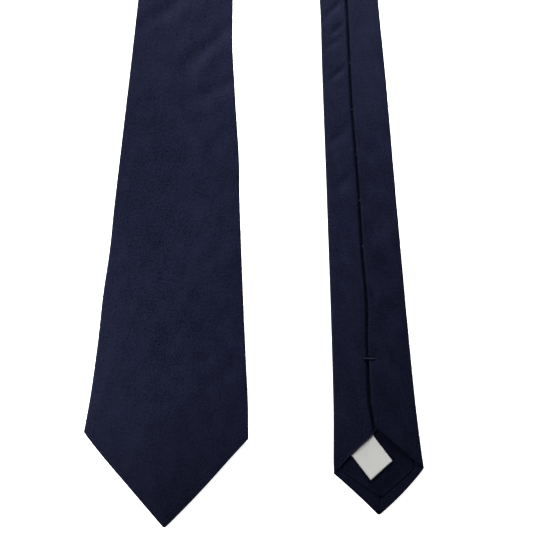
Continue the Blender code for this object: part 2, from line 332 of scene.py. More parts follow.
def levels(leg, station):
    """Depths of the face, the wings where they turn, and the wings in the middle."""
    face = FACE_W + leg.crown(station)
    up = station - leg.corner
    turned = face + 0.7 + 0.85 * ease(up / 3) + 0.35 * ease(up / 20)
    turned = np.minimum(turned, face + 1.4 * leg.half_width(station))
    middle = turned + (WING_W - turned) * ease((station - leg.corner) / 18)
    return face, turned, middle


def hem_level(leg, station):
    """Depth of the hem's cloth."""
    return FACE_W + leg.crown(station) + HEM_RISE


def hem_width(leg, station):
    """Width of the hem's border: it narrows up to the corner, then goes in under the wing."""
    wide = (leg.half_width(station) - HEM_AT_MITRE) / (leg.corner_half - HEM_AT_MITRE)
    width = HEM_AT_MITRE - (HEM_AT_MITRE - HEM_AT_CORNER) * np.clip(wide, 0, 1) ** 1.3
    width = np.where(station > leg.corner, HEM_AT_CORNER, width)
    return width - 2.4 * ease((station - leg.corner - 5) / 7)


def wing_ends(leg, station, radius):
    """Where the two wings end: along a diagonal from each corner, then at the seam."""
    half = leg.half_width(station)
    rise = leg.rise(station) - 1
    free = leg.corner_half * (1 - rise)
    left = soft_min(-free + 2.2 * ease((rise - 0.4) / 0.6), leg.seam(station) + OVERLAP, 3.0)
    right = soft_max(free, leg.seam(station), 3.0)
    most = half - radius - 0.05
    return np.clip(left, -most, most), np.clip(right, -most, most)


def from_edge(edge, end, count, seam=None):
    """Columns from a free edge, close together at first and at the seam, to the end of the wing."""
    span = (end - edge)[:, None]
    near = edge[:, None] + FREE_EDGE * np.minimum(1.0, np.abs(span) / 5) * np.sign(span)
    stops, counts = [near[:, -1], end], [count]
    if seam is not None:
        above = np.minimum(near[:, -1] - 0.1, seam + 0.2)
        below = np.minimum(above - 0.2, np.maximum(seam - 3.4, end + 0.5))
        stops, counts = [near[:, -1], above, below, end], [4, 12, count]
    columns = [near]
    for start, stop, steps in zip(stops, stops[1:], counts):
        part = np.linspace(0, 1, steps + 1)[1:]
        columns.append(start[:, None] + (stop - start)[:, None] * part)
    return np.concatenate(columns, axis=1)


def wing_rise(gape):
    """How far the right wing's edge stands up from the rest of the wing."""
    return 0.15 + 1.2 * gape


def shell_section(leg, station):
    """The shell's middle line and thickness across every row."""
    half = leg.half_width(station)
    face, turned, middle = (level[:, None] for level in levels(leg, station))
    radius = (turned - face)[:, 0] / 2
    left, right = wing_ends(leg, station, radius)
    inner = half - radius
    seam, gape = leg.seam(station)[:, None], leg.gape(station)[:, None]
    open_up = ease((station - leg.corner) / 16)[:, None]

    left_u = from_edge(left, -inner, WING_COLUMNS, leg.seam(station))
    left_w = middle - (middle - turned) * np.abs(left_u / inner[:, None]) ** 3
    crevice = ease((left_u - seam + 1.4 + 0.9 * gape) / 0.8)
    valley = ease((left_u - seam + 7) / 7) * 0.5 * gape + crevice * 1.1
    curl = (1 - ease((left[:, None] - left_u) / 5)) * ease(2 - leg.rise(station))[:, None]
    left_w = left_w - valley * open_up + 0.4 * curl * open_up

    right_u = from_edge(right, inner, WING_COLUMNS + 4)
    right_w = middle - (middle - turned) * np.abs(right_u / inner[:, None]) ** 3
    right_w = right_w + (1 - ease((right_u - right[:, None]) / 12)) * wing_rise(gape) * open_up

    turn = np.linspace(0, math.pi, TURN_COLUMNS + 2)[1:-1]
    sine, cosine = radius[:, None] * np.sin(turn), radius[:, None] * np.cos(turn)
    centre = (face + turned) / 2
    share = np.sin(np.linspace(-1, 1, FACE_COLUMNS) * math.pi / 2)[None, :]
    face_w = FACE_W + (face - FACE_W) * np.abs(share) ** 3
    inner = inner[:, None]
    u = [left_u, -inner - sine, share * inner, inner + sine, right_u[:, ::-1]]
    w = [left_w, centre + cosine, face_w, centre - cosine, right_w[:, ::-1]]
    u, w = np.concatenate(u, axis=1), np.concatenate(w, axis=1)
    thick = np.full(u.shape, CLOTH)
    count = len(FREE_EDGE)
    thick[:, :count] = FREE_EDGE_THICKNESS
    thick[:, -count:] = FREE_EDGE_THICKNESS[::-1]
    return u, w, thick


def hem_section(side):
    """The border of cloth turned in round a point, mitred along the middle."""

    def section(leg, station):
        half = leg.half_width(station)
        tuck = ease((station - leg.corner) / 4)
        outer = half - 0.12 - 0.9 * tuck
        inner = np.maximum(half - hem_width(leg, station) - HEM_UNDER, 0.03)
        part = np.concatenate([[0, 0.02, 0.05, 0.09], np.linspace(0.13, 1, HEM_COLUMNS)])
        distance = (outer - inner)[:, None] * part
        u = side * (outer[:, None] - distance)
        level = hem_level(leg, station)[:, None]
        mitre = 0.35 * (1 - ease(np.abs(u) / 0.9))
        border = (half - hem_width(leg, station))[:, None]
        groove = 0.4 * hill(np.abs(u), border + 0.35, 0.7)
        w = level - 0.5 * np.clip(1 - distance / 0.9, 0, 1) ** 2 - mitre - groove
        thick = np.full(u.shape, HEM_THICKNESS)
        thick[:, : len(HEM_EDGE_THICKNESS)] = HEM_EDGE_THICKNESS
        return (u, w, thick) if side > 0 else (u[:, ::-1], w[:, ::-1], thick[:, ::-1])

    return section


def tipping_section(leg, station):
    """The lining: its edge lies on the hem, and its middle settles between the hems."""
    half = (leg.half_width(station) - hem_width(leg, station))[:, None]
    share = np.linspace(-1, 1, TIPPING_COLUMNS)
    inner = np.maximum(half - TIPPING_EDGE_WIDTH, 0.02)
    rim = half - TIPPING_EDGE * (half - inner) / TIPPING_EDGE_WIDTH
    u = np.concatenate([-rim, share * inner, rim[:, ::-1]], axis=1)
    level = hem_level(leg, station)[:, None] + TIPPING_RISE
    settle = 0.3 * ease((half - np.abs(u)) / 4)
    thick = np.full(u.shape, TIPPING)
    count = len(TIPPING_EDGE)
    thick[:, :count] = TIPPING_EDGE_THICKNESS
    thick[:, -count:] = TIPPING_EDGE_THICKNESS[::-1]
    return u, level - settle, thick


def interlining_section(leg, station):
    """The interlining: narrow between the hems, and thinner under the tipping than above it."""
    clear = ease((station - leg.corner - 4) / 10)
    tucked = leg.half_width(station) - HEM_AT_MITRE - HEM_UNDER
    half = tucked + clear * (HEM_AT_MITRE + HEM_UNDER - INTERLINING_MARGIN)
    u = half[:, None] * np.linspace(-1, 1, INTERLINING_COLUMNS)
    full = ease((station - leg.seam_end - TIPPING_RUN_IN) / 12)[:, None]
    pressed = 1 - full
    w = INTERLINING_W + 0.05 * full - 0.2 * pressed
    thick = INTERLINING + 0.1 * full - 0.15 * pressed
    return u, w + np.zeros_like(u), thick + np.zeros_like(u)


def sides_of(u, w, thick):
    """The two faces of a cloth whose middle line and thickness are given."""
    du, dw = np.gradient(u, axis=1), np.gradient(w, axis=1)
    length = np.maximum(np.hypot(du, dw), 1e-9)
    nu, nw = -dw / length * thick / 2, du / length * thick / 2
    return (u + nu, w + nw), (u - nu, w - nw)


def developed(u, w):
    """How far along the cloth each column is from the middle of the face."""
    step = np.hypot(np.diff(u, axis=1), np.diff(w, axis=1))
    along = np.concatenate([np.zeros((len(u), 1)), np.cumsum(step, axis=1)], axis=1)
    face = np.argmin(np.abs(u) + 100 * (w > FACE_W + 0.2), axis=1)
    return along - along[np.arange(len(u)), face][:, None]


# Meshes.


def add_mesh(name, verts, faces, cloth):
    """A smooth-shaded object. cloth gives each vertex's place on the cloth, for the weave."""
    mesh = bpy.data.meshes.new(name)
    mesh.from_pydata(verts.tolist(), [], faces.tolist())
    corners = np.zeros(len(mesh.loops), np.int32)
    mesh.loops.foreach_get("vertex_index", corners)
    layer = mesh.uv_layers.new(name=WEAVE_UV)
    layer.data.foreach_set("uv", cloth[corners].astype(np.float32).ravel())
    face_outwards(mesh)
    mesh.shade_smooth()
    piece = bpy.data.objects.new(name, mesh)
    bpy.context.scene.collection.objects.link(piece)
    return piece


def grid(front, back, along, across):
    """Vertices, faces and weave places of a closed sheet between two grids of points."""
    rows, columns = front.shape[:2]
    index = np.arange(rows * columns).reshape(rows, columns)
    corners = [index[:-1, :-1], index[:-1, 1:], index[1:, 1:], index[1:, :-1]]
    quads = np.stack(corners, axis=-1).reshape(-1, 4)
    far = rows * columns
    faces = [quads, quads[:, ::-1] + far]
    for line in (index[0, ::-1], index[-1], index[:, 0], index[::-1, -1]):
        faces.append(np.stack([line[:-1], line[1:], line[1:] + far, line[:-1] + far], axis=-1))
    along, across = np.broadcast_arrays(along, across)
    cloth = np.stack([across.ravel(), along.ravel()], axis=-1) * MM
    verts = np.concatenate([front.reshape(-1, 3), back.reshape(-1, 3)])
    return verts, np.concatenate(faces), np.concatenate([cloth, cloth])


def joined(grids):
    """Several grids as the parts of one mesh."""
    starts = np.cumsum([0] + [len(verts) for verts, _, _ in grids])
    verts = np.concatenate([verts for verts, _, _ in grids])
    faces = np.concatenate([faces + start for (_, faces, _), start in zip(grids, starts)])
    return verts, faces, np.concatenate([cloth for _, _, cloth in grids])


def face_outwards(mesh):
    """Turns each closed part's faces round if that part is inside out."""
    work = bmesh.new()
    work.from_mesh(mesh)
    bmesh.ops.recalc_face_normals(work, faces=work.faces)
    work.to_mesh(mesh)
    work.free()


def section_grid(leg, station, section, lean=0.0):
    """A grid through the rows at these stations, and the area of its cloth in square metres."""
    u, w, thick = section(leg, station)
    across = developed(u, w)
    rows = station[:, None] + np.broadcast_to(lean, station.shape)[:, None] * across
    front, back = sides_of(u, w, thick)
    made = grid(leg.points(rows, *front), leg.points(rows, *back), rows, across)
    width = np.ptp(across, axis=1)
    area = float(((width[1:] + width[:-1]) / 2 * np.diff(station)).sum()) * MM * MM
    flat = (float(width.max()) * MM, float(np.ptp(rows)) * MM)
    return made, area, flat


def spans(*parts):
    """Stations along a leg, each span given as a start, an end and a spacing."""
    runs = [np.linspace(a, b, max(2, round(abs(b - a) / step) + 1)) for a, b, step in parts]
    return np.unique(np.round(np.concatenate(runs), 4))


def arc(start, end, height, count=9):
    """Points of a thread from one place to another, rising by this height between them."""
    part = np.linspace(0, 1, count)[:, None]
    points = np.array(start) + (np.array(end) - np.array(start)) * part
    points[:, 2] += height * (1 - (2 * part[:, 0] - 1) ** 4)
    return points


def thread_tube(points, radius, sides=8):
    """Vertices, faces and weave places of a closed tube of thread, rounded off at its ends."""
    points = np.asarray(points, float)
    ahead = np.gradient(points, axis=0)
    ahead /= np.linalg.norm(ahead, axis=1)[:, None]
    up = np.array([0.0, 0.0, 1.0]) - ahead * ahead[:, 2:]
    up /= np.maximum(np.linalg.norm(up, axis=1), 1e-9)[:, None]
    beside = np.cross(ahead, up)
    turn = np.linspace(0, 2 * math.pi, sides, endpoint=False)
    run = np.linspace(0, 1, len(points))
    size = radius * np.maximum(np.sqrt(np.clip(1 - (2 * run - 1) ** 8, 0, 1)), 0.05)
    cosine, sine = np.cos(turn)[None, :, None], np.sin(turn)[None, :, None]
    ring = beside[:, None] * cosine + up[:, None] * sine
    verts = (points[:, None] + ring * size[:, None, None]).reshape(-1, 3)
    index = np.arange(len(verts)).reshape(len(points), sides)
    onward = np.roll(index, -1, axis=1)
    faces = [np.stack([index[:-1], onward[:-1], onward[1:], index[1:]], axis=-1).reshape(-1, 4)]
    for row in (index[0], index[-1]):
        fan = [[row[0], row[i], row[i + 1], row[i + 2]] for i in range(1, sides - 2, 2)]
        faces.append(np.array(fan))
    length = np.concatenate([[0], np.cumsum(np.linalg.norm(np.diff(points, axis=0), axis=1))])
    round_it, along_it = np.broadcast_arrays(turn[None, :] * radius, length[:, None])
    return verts, np.concatenate(faces), np.stack([round_it, along_it], axis=-1).reshape(-1, 2)


# Materials.


class Nodes:
    """A material's node tree, built a node at a time."""

    def __init__(self, name):
        self.material = bpy.data.materials.new(name)
        self.material.use_nodes = True
        self.tree = self.material.node_tree
        self.shader = self.tree.nodes["Principled BSDF"]

    def add(self, kind, inputs=(), **settings):
        made = self.tree.nodes.new("ShaderNode" + kind)
        for key, value in settings.items():
            setattr(made, key, value)
        for key, value in dict(inputs).items():
            if isinstance(value, bpy.types.NodeSocket):
                self.tree.links.new(value, made.inputs[key])
            else:
                made.inputs[key].default_value = value
        return made

    def set(self, **values):
        """Sets or links the shader's own sockets, named with underscores for spaces."""
        for key, value in values.items():
            socket = self.shader.inputs[key.replace("_", " ")]
            if isinstance(value, bpy.types.NodeSocket):
                self.tree.links.new(value, socket)
            else:
                socket.default_value = value

    def cloth(self, angle, scale):
        """The weave's place in metres, turned by an angle and scaled per axis."""
        place = self.add("UVMap", uv_map=WEAVE_UV).outputs[0]
        turned = self.add("Mapping", {"Vector": place, "Rotation": (0, 0, math.radians(angle))})
        return self.add("Mapping", {"Vector": turned.outputs[0], "Scale": scale}).outputs[0]

    def noise(self, angle, scale, detail=2.0):
        inputs = {"Vector": self.cloth(angle, scale), "Scale": 1.0, "Detail": detail}
        return self.add("TexNoise", inputs).outputs[0]

    def ribs(self, angle, pitch, waver=0.6):
        """Fine straight ribs this far apart, from 0 to 1."""
        inputs = {"Vector": self.cloth(angle, (1, 1, 1)), "Scale": math.pi / 10 / pitch}
        return self.add("TexWave", {**inputs, "Distortion": waver, "Detail": 1.0}).outputs[1]

    def maths(self, operation, a, b, clamp=False):
        return self.add("Math", {0: a, 1: b}, operation=operation, use_clamp=clamp).outputs[0]

    def total(self, parts):
        """The weighted sum of (value, weight) parts."""
        made = None
        for value, weight in parts:
            part = self.maths("MULTIPLY", value, weight)
            made = part if made is None else self.maths("ADD", made, part)
        return made

    def blend(self, factor, dark, light):
        ramp = self.add("ValToRGB", {0: factor})
        ramp.color_ramp.elements[0].color = (*dark, 1)
        ramp.color_ramp.elements[1].color = (*light, 1)
        return ramp.outputs[0]

    def range(self, value, low, high):
        return self.add("MapRange", {0: value, 3: low, 4: high}).outputs[0]

    def bump(self, height, distance, strength=1.0):
        inputs = {"Height": height, "Distance": distance, "Strength": strength}
        return self.add("Bump", inputs).outputs[0]


def silk_material(name, dark, light, roughness):
    """Satin twill cut on the bias: fine ribs, uneven yarns, and slow changes of depth."""
    nodes = Nodes(name)
    ribs = nodes.ribs(45, 0.00055)
    yarns = nodes.noise(45, (2600, 420, 1))
    weft = nodes.noise(-45, (2200, 700, 1))
    grain = nodes.noise(0, (1150, 1150, 1), 3.0)
    patches = nodes.noise(20, (140, 90, 1), 3.0)
    slow = nodes.noise(20, (28, 16, 1), 3.0)
    tone = nodes.total(((grain, 0.4), (yarns, 0.2), (weft, 0.15), (patches, 0.15), (slow, 0.1)))
    nodes.set(Base_Color=nodes.blend(nodes.range(tone, -1.2, 2.2), dark, light))
    relief = nodes.total(((ribs, 0.35), (grain, 0.35), (yarns, 0.2), (weft, 0.1)))
    nodes.set(
        Roughness=nodes.range(tone, roughness - 0.1, roughness + 0.1),
        Normal=nodes.bump(relief, 0.00012, 0.55),
        Specular_IOR_Level=0.022,
        Specular_Tint=(0.68, 0.72, 1, 1),
    )
    return nodes.material


def wool_material():
    """Undyed felted wool: two sets of fibres with a slight nap."""
    nodes = Nodes("interlining_wool")
    fibres = nodes.noise(15, (900, 260, 1), 4.0)
    nap = nodes.noise(-50, (420, 900, 1), 4.0)
    felt = nodes.total(((fibres, 0.5), (nap, 0.5)))
    nodes.set(
        Base_Color=nodes.blend(felt, (0.42, 0.39, 0.33), (0.66, 0.63, 0.56)),
        Roughness=nodes.range(felt, 0.85, 1.0),
        Normal=nodes.bump(felt, 0.0003),
        Sheen_Weight=0.3,
    )
    return nodes.material


def thread_material(name, dark, light, gloss):
    """Twisted thread: slanting plies round the tube."""
    nodes = Nodes(name)
    plies = nodes.ribs(28, 0.00035, 0.0)
    fuzz = nodes.noise(0, (3000, 1500, 1), 3.0)
    twist = nodes.total(((plies, 0.7), (fuzz, 0.3)))
    nodes.set(
        Base_Color=nodes.blend(twist, dark, light),
        Roughness=nodes.range(fuzz, 0.45, 0.75),
        Normal=nodes.bump(twist, 0.00006),
        Specular_IOR_Level=gloss,
    )
    return nodes.material


def label_material(name, dark, light, border, roughness):
    """Woven label satin: fine warp ribs with a faint border along the selvedges."""
    nodes = Nodes(name)
    warp = nodes.ribs(90, 0.00028)
    weft = nodes.ribs(0, 0.0005)
    slubs = nodes.noise(0, (250, 1600, 1), 3.0)
    slow = nodes.noise(0, (90, 90, 1))
    weave = nodes.total(((warp, 0.3), (weft, 0.2), (slubs, 0.3), (slow, 0.2)))
    place = nodes.add("SeparateXYZ", {0: nodes.cloth(0, (1, 1, 1))})
    from_middle = nodes.maths("ABSOLUTE", place.outputs[0], 0.0)
    edge = nodes.add("MapRange", {0: from_middle, 1: border, 2: border + 0.0004}).outputs[0]
    tone = nodes.maths("SUBTRACT", weave, nodes.maths("MULTIPLY", edge, 0.35), clamp=True)
    nodes.set(
        Base_Color=nodes.blend(tone, dark, light),
        Roughness=nodes.range(slubs, roughness - 0.08, roughness + 0.1),
        Normal=nodes.bump(weave, 0.00008, 0.7),
        Specular_IOR_Level=0.25,
    )
    return nodes.material


def floor_material():
    """Smooth paper that gives off a little light, so that it stays nearly white."""
    nodes = Nodes("studio_floor")
    fine = nodes.add("TexNoise", {"Scale": 40.0, "Detail": 3.0}).outputs[0]
    nodes.set(
        Base_Color=nodes.blend(fine, (0.86, 0.86, 0.86), (0.9, 0.9, 0.9)),
        Roughness=nodes.range(fine, 0.8, 0.95),
        Specular_IOR_Level=0.2,
        Emission_Color=(1, 1, 1, 1),
        Emission_Strength=0.78,
    )
    return nodes.material


SILK = silk_material("navy_silk", (0.0002, 0.0003, 0.0018), (0.0062, 0.0070, 0.0165), 0.52)
LINING = silk_material("navy_lining", (0.0002, 0.0003, 0.0015), (0.0050, 0.0058, 0.0138), 0.5)
WOOL = wool_material()
THREAD_DARK = thread_material("navy_thread", (0.0004, 0.0005, 0.0015), (0.002, 0.0025, 0.006), 0.006)
# Pale thread for the stitches; on the bar tack it is a painted highlight.
THREAD_PALE_AND_PAINTED_HIGHLIGHT = thread_material("pale_thread_and_painted_highlight", (0.009, 0.013, 0.02), (0.03, 0.04, 0.056), 0.03)
CARE_SATIN = label_material("label_satin", (0.26, 0.26, 0.252), (0.43, 0.43, 0.417), 0.0070, 0.5)
BRAND_SATIN = label_material("brand_satin", (0.008, 0.010, 0.028), (0.035, 0.04, 0.085), 0.0105, 0.42)


# Pieces.


def finished(name, made, material, slot_name, *nodes):
    """A mesh piece with its material, standing for these CAD nodes, which it hides. slot_name is not
    used.
    """
    piece = add_mesh(name, *made)
    piece.data.materials.append(material)
    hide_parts(*nodes)
    return piece


def across_crease(piece, leg):
    """Bakes the piece's place into its mesh. Where the leg folds halfway up is worked out, but the
    piece is not bent there.
    """
    start = leg.point(CREASE_Y - CREASE_RUN, 0, LEG / 2)
    end = leg.point(CREASE_Y + CREASE_RUN, 0, LEG / 2)
    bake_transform(piece)


def leg_stations(leg, top):
    """Rows close together round the point, then further apart up the leg."""
    first = leg.tip + 0.3 * (leg.corner - leg.tip) / leg.corner_half
    near = leg.seam_end + 6
    return spans(
        (first, leg.tip + 4, 0.5), (leg.tip + 4, near, 0.9), (near, near + 60, 1.6),
        (near + 60, 300, 1.6), (300, CREASE_Y - CREASE_FINE, 3.0),
        (CREASE_Y - CREASE_FINE, CREASE_Y + CREASE_FINE, 1.0), (CREASE_Y + CREASE_FINE, top, 4.0),
    )


def seamed_section(seam):
    """The shell's section, drawn in where it is sewn to the next piece of silk."""

    def section(leg, station):
        u, w, thick = shell_section(leg, station)
        drawn_in = 0.22 * hill(station, seam, 0.9)[:, None]
        return u * (1 - drawn_in / NECK_HALF), w + drawn_in * np.clip(1.7 - w, -1, 1), thick

    return section


def build_silk(prefix, leg, seam):
    """A leg's shell up to its neck seam, with the border turned in round its point."""
    rows = np.union1d(leg_stations(leg, seam - 3), seam - SEAM_ROWS)
    lean = np.clip((rows - seam + BIAS_RUN) / BIAS_RUN, 0, 1)
    shell, area, flat = section_grid(leg, rows, seamed_section(seam), lean)
    parts = [shell]
    hem_rows = spans((leg.tip + 1.6, leg.corner + 9, 0.9))
    for side in (-1, 1):
        hem, hem_area, _ = section_grid(leg, hem_rows, hem_section(side))
        parts.append(hem)
        area += hem_area
    nodes = (f"{prefix}_shell_end", f"{prefix}_shell_upper")
    piece = finished(f"{prefix}_silk", joined(parts), SILK, "navy_silk", *nodes)
    across_crease(piece, leg)


def build_neck(name, leg, seam, body, node):
    """The shell from a neck seam to the fold."""
    rows = np.union1d(seam + SEAM_ROWS, spans((seam + 3, FOLD_Y, 3.5)))
    lean = 1 - np.clip((rows - seam) / BIAS_RUN, 0, 1)
    made, area, flat = section_grid(leg, rows, seamed_section(seam), lean)
    piece = finished(name, made, SILK, "navy_silk", node)
    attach(piece, body)


def build_neck_bend():
    """The shell's cloth going over the fold at the neck, from the tail's section to the blade's."""
    top = np.array([FOLD_Y])
    rear, front = shell_section(TAIL, top), shell_section(BLADE, top)
    turn = np.linspace(0, math.pi, BEND_ROWS)[:, None]
    part = turn / math.pi
    u, w, thick = (a + (b - a) * part for a, b in zip(rear, front))
    centre_x = float(TAIL.point(FOLD_Y, 0, 0)[0]) / MM

    def swept(side):
        across, depth = side
        radius = HINGE_Z - depth
        y = FOLD_Y - ORIGIN_Y + radius * np.sin(turn)
        points = [centre_x + across, y, HINGE_Z - radius * np.cos(turn)]
        return np.stack(np.broadcast_arrays(*points), axis=-1) * MM

    front_side, back_side = sides_of(u, w, thick)
    across = developed(u, w)
    rows = FOLD_Y + part * math.pi * HINGE_Z
    made = grid(swept(front_side), swept(back_side), rows, across)
    piece = finished("neck_silk_bend", made, SILK, "navy_silk", "neck_shell_rear")
    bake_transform(piece)


def build_layers(prefix, leg):
    """The interlining inside a leg, and the tipping that lines its point."""
    slope = (leg.corner - leg.tip) / leg.corner_half
    inside = 3.0
    low = leg.tip + (HEM_AT_MITRE + HEM_UNDER + inside) * slope
    below, above = CREASE_Y - CREASE_FINE, CREASE_Y + CREASE_FINE
    rows = spans((low, below, 2.5), (below, above, 1.0), (above, FOLD_Y - 0.3, 8.0))
    made, area, flat = section_grid(leg, rows, interlining_section)
    nodes = (f"{prefix}_interlining_end", f"{prefix}_interlining_upper")
    wool = finished(f"{prefix}_interlining", made, WOOL, "interlining_wool", *nodes)
    across_crease(wool, leg)
    low = leg.tip + (HEM_AT_MITRE + 0.4) * slope
    rows = spans((low, leg.seam_end, 0.9), (leg.seam_end, leg.seam_end + TIPPING_RUN_IN, 3.0))
    made, area, flat = section_grid(leg, rows, tipping_section)
    tipping = finished(f"{prefix}_lining", made, LINING, "navy_lining", f"{prefix}_tipping")
    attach(tipping, f"{prefix}_end")


def wing_top(leg, station):
    """Depth of the cloth's surface beside the seam, on the right wing."""
    return float(WING_W + wing_rise(leg.gape(station)) + CLOTH / 2)


def thread_piece(name, tubes, material, node, body):
    """Stitches as one piece that stands for a CAD node."""
    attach(finished(name, joined(tubes), material, "navy_thread", node), body)


def build_slip_stitches(prefix, leg, part, low, high):
    """Short stitches that show beside the seam low down, and are out of sight further up."""
    tubes = []
    for station in np.arange(low, high, STITCH_SPACING):
        seam = float(leg.seam(station))
        sunk = 0.0 if station < leg.stitches_show_to else STITCH_SUNK
        top = wing_top(leg, station) - sunk
        left = leg.point(station - 0.4, seam - 0.8, top - 0.45)
        right = leg.point(station + 0.3, seam + 0.35, top + 0.05)
        tubes.append(thread_tube(arc(left, right, 0.1 * MM), SLIP_STITCH_RADIUS * MM))
    name, node = f"{prefix}_slip_stitches_{part}", f"{prefix}_slip_stitch_{part}"
    thread_piece(name, tubes, THREAD_PALE_AND_PAINTED_HIGHLIGHT, node, f"{prefix}_{part}")


def build_bar_tack(prefix, leg):
    """Strands across the seam where it stops: dark navy ones, also standing for painted shade, with a
    pale one between them as a painted highlight.
    """
    seam, top = float(leg.seam(leg.tack)), wing_top(leg, leg.tack)
    up = -1.0 if leg.face_up else 1.0
    for shade, (places, radius) in BAR_TACK_STRANDS_AND_PAINTED_LIGHT.items():
        tubes = []
        for i, place in enumerate(places):
            left = leg.point(leg.tack + place + 0.2, seam - 3.2 + 0.3 * i, top - 0.25)
            right = leg.point(leg.tack + place - 0.25, seam + 3.6 - 0.2 * i, top - 0.15)
            tubes.append(thread_tube(arc(left, right, up * 0.35 * MM, 15), radius * MM))
        # The pale strand is a painted highlight; the dark ones are navy thread and painted shade.
        material = THREAD_DARK if shade == "dark" else THREAD_PALE_AND_PAINTED_HIGHLIGHT
        name, node = f"{prefix}_bar_tack_{shade}", f"{prefix}_bar_tack"
        thread_piece(name, tubes, material, node, f"{prefix}_end")


def build_end_stitches(name, node, stations, starts, ends, rise):
    """Stitches over both ends of a piece across the blade's back.

    starts and ends hold, for each stitch's two ends, how far it is along the
    blade from its station, how far from the middle line, and its depth.
    """
    for side, end_name in ((-1, "left"), (1, "right")):
        tubes = []
        for station in stations:
            (start_along, start_out, start_w), (end_along, end_out, end_w) = starts, ends
            start = BLADE.point(station + start_along, side * start_out, start_w)
            end = BLADE.point(station + end_along, side * end_out, end_w)
            tubes.append(thread_tube(arc(start, end, rise * MM), END_STITCH_RADIUS * MM))
        thread_piece(f"{name}_{end_name}", tubes, THREAD_DARK, f"{node}_{end_name}", "blade_end")


BRAND_LABEL_HALF = 23.0
BRAND_LABEL_HEIGHT = 24.0
BRAND_LABEL_AT = 178.0


def brand_label_section(leg, station, columns=29):
    """The label bulges over the seam and dips at its stitched ends."""
    u = np.linspace(-BRAND_LABEL_HALF, BRAND_LABEL_HALF, columns) + np.zeros((len(station), 1))
    w = 3.55 + 0.42 * hill(u, 0.5, 9) - 0.1 * hill(np.abs(u), BRAND_LABEL_HALF, 3)
    return u, w, np.full(u.shape, 0.26)


def build_brand_label():
    """A blank woven label across the blade's back, held by stitches at its two ends."""
    middle, half = BRAND_LABEL_AT, BRAND_LABEL_HALF
    rows = spans((middle - BRAND_LABEL_HEIGHT / 2, middle + BRAND_LABEL_HEIGHT / 2, 1.5))
    (verts, faces, cloth), area, flat = section_grid(BLADE, rows, brand_label_section)
    cloth[:, 1] -= middle * MM
    made = (verts, faces, cloth[:, ::-1])
    label = finished("plain_label", made, BRAND_SATIN, "brand_satin", "brand_label")
    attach(label, "blade_end")
    stations = np.arange(middle - 10, middle + 10.1, 2.5)
    starts, ends = (0.0, half - 1.6, 3.72), (0.5, half + 0.7, 3.38)
    build_end_stitches("label_stitches", "brand_label_tack", stations, starts, ends, -0.06)


KEEPER_HALF = 25.0
KEEPER_TUCK = 6.0
KEEPER_AT = 226.0
KEEPER_WIDTH = 12.0
KEEPER_TURN = 0.45  # radius of the turn at each end
KEEPER_TURN_IN = 0.6  # from the end in to where the turn begins
KEEPER_TUCK_W = 3.05


def keeper_section(leg, station):
    """The band's top, the turn at each end, and the short runs turned under."""
    most = KEEPER_HALF - KEEPER_TURN_IN
    run = np.linspace(-most, most, 27)
    turn = np.linspace(0, math.pi, 6)[1:-1]
    end_u = -KEEPER_HALF + KEEPER_TURN_IN - KEEPER_TURN * np.sin(turn)
    end_w = KEEPER_TUCK_W + KEEPER_TURN + KEEPER_TURN * np.cos(turn + math.pi)
    under_u = np.array([-KEEPER_HALF + KEEPER_TUCK, -KEEPER_HALF + 2])
    under_w = np.full(2, KEEPER_TUCK_W)
    top = 3.95 + 0.4 * hill(run, 0.5, 12)
    row_u = np.concatenate([under_u, end_u, run, -end_u[::-1], -under_u[::-1]])
    row_w = np.concatenate([under_w, end_w, top, end_w[::-1], under_w])
    shape = (len(station), len(row_u))
    crown = 0.12 * (2 * (station - KEEPER_AT) / KEEPER_WIDTH) ** 4
    return np.broadcast_to(row_u, shape), row_w - crown[:, None], np.full(shape, 0.45)


def build_keeper_loop():
    """A flat band of silk across the blade's back, its ends turned under and stitched down."""
    rows = spans((KEEPER_AT - KEEPER_WIDTH / 2, KEEPER_AT + KEEPER_WIDTH / 2, 0.8))
    made, area, flat = section_grid(BLADE, rows, keeper_section)
    loop = finished("keeper_band", made, SILK, "navy_silk", "keeper_loop")
    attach(loop, "blade_end")
    stations = np.arange(KEEPER_AT - 4, KEEPER_AT + 4.1, 1.6)
    starts, ends = (0.0, KEEPER_HALF - 0.9, 3.9), (0.4, KEEPER_HALF + 0.9, 3.2)
    build_end_stitches("keeper_stitches", "keeper_loop_tack", stations, starts, ends, -0.1)


# The care label: its sewn edge's lower end, and the way that edge runs.
CARE_LABEL_ROOT = np.array([50.9 - ORIGIN_X, 38.5 - ORIGIN_Y])
CARE_LABEL_ANGLE = math.radians(41.9)
CARE_LABEL_SKEW = math.radians(-4.4)  # its two long sides turn this much from square
CARE_LABEL_WIDTH = 15.3
CARE_LABEL_LENGTH = 16.9
CARE_LABEL_TUCK = 1.8  # how far it goes in under the wing
CARE_LABEL_HALF_THICKNESS = 0.12
CARE_LABEL_STITCHES = (0.6, 1.9, 3.1, 10.4, 12.0, 13.4, 14.6)  # how far along the sewn edge


def care_label_places(across, down, z):
    """Places on the care label: across from its root along the sewn edge, down from that edge."""
    fall = CARE_LABEL_ANGLE + CARE_LABEL_SKEW
    x = CARE_LABEL_ROOT[0] + across * math.cos(CARE_LABEL_ANGLE) + down * math.sin(fall)
    y = CARE_LABEL_ROOT[1] + across * math.sin(CARE_LABEL_ANGLE) - down * math.cos(fall)
    return np.stack(np.broadcast_arrays(x, y, z), axis=-1) * MM


